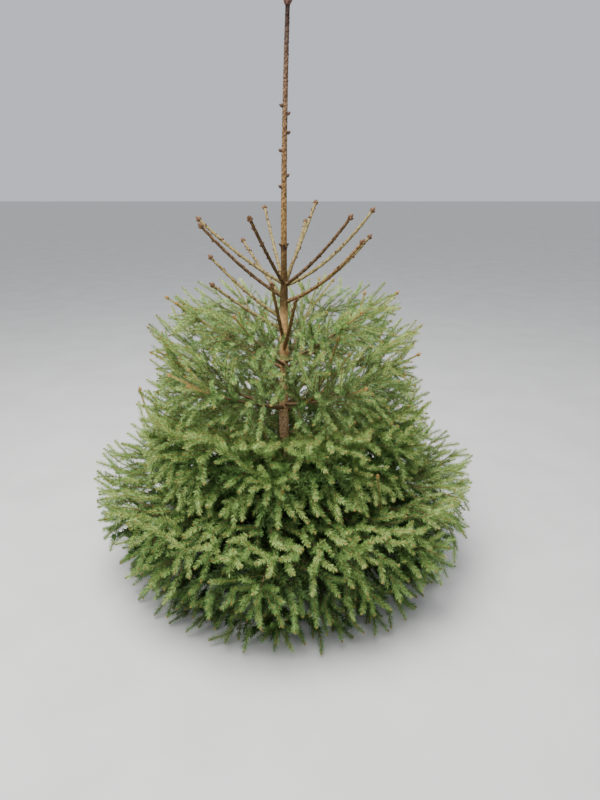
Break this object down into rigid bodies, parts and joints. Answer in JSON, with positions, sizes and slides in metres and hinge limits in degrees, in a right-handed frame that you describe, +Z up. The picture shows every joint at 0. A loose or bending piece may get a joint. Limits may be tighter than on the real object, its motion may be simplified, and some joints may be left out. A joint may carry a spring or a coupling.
{
  "type": "young spruce christmas tree",
  "caption": "Young spruce grown as a Christmas tree, rooted at ground level: dense needled boughs in whorls, a whorl of bare budded shoots and a long bare leader.",
  "frame": {"origin": "centre of the flat cut under the trunk, at ground level", "axes": "+Z up the trunk, -Y towards the viewer of the picture, +X to the viewer's right"},
  "size_m": [1.4972, 1.4917, 2.1],
  "materials": {
    "trunk_bark": "rough orange-brown bark",
    "shoot_bark": "matte olive-brown young bark",
    "bough_bark": "rough grey-brown bark",
    "needles": "matte mid-green needles"
  },
  "bodies": {
    "root": {"trunk": "trunk_bark", "shoot_1": "shoot_bark", "shoot_2": "shoot_bark", "shoot_3": "shoot_bark", "shoot_4": "shoot_bark", "shoot_5": "shoot_bark", "shoot_6": "shoot_bark", "shoot_7": "shoot_bark", "shoot_8": "shoot_bark", "shoot_9": "shoot_bark", "shoot_10": "shoot_bark", "shoot_11": "shoot_bark", "shoot_12": "shoot_bark", "shoot_13": "shoot_bark", "shoot_14": "shoot_bark", "shoot_15": "shoot_bark", "bough_ground_1": "bough_bark", "foliage_ground_1": "needles", "bough_ground_2": "bough_bark", "foliage_ground_2": "needles", "bough_ground_3": "bough_bark", "foliage_ground_3": "needles", "bough_ground_4": "bough_bark", "foliage_ground_4": "needles", "bough_ground_5": "bough_bark", "foliage_ground_5": "needles", "bough_skirt_1": "bough_bark", "foliage_skirt_1": "needles", "bough_skirt_2": "bough_bark", "foliage_skirt_2": "needles", "bough_skirt_3": "bough_bark", "foliage_skirt_3": "needles", "bough_skirt_4": "bough_bark", "foliage_skirt_4": "needles", "bough_skirt_5": "bough_bark", "foliage_skirt_5": "needles", "bough_skirt_6": "bough_bark", "foliage_skirt_6": "needles", "bough_lower_1": "bough_bark", "foliage_lower_1": "needles", "bough_lower_2": "bough_bark", "foliage_lower_2": "needles", "bough_lower_3": "bough_bark", "foliage_lower_3": "needles", "bough_lower_4": "bough_bark", "foliage_lower_4": "needles", "bough_lower_5": "bough_bark", "foliage_lower_5": "needles", "foliage_middle_1": "needles", "foliage_middle_2": "needles", "foliage_middle_3": "needles", "foliage_middle_4": "needles", "foliage_middle_5": "needles", "foliage_middle_6": "needles", "foliage_upper_1": "needles", "foliage_upper_2": "needles", "foliage_upper_3": "needles", "foliage_upper_4": "needles", "foliage_upper_5": "needles", "foliage_upper_6": "needles"}
  },
  "joints": []
}
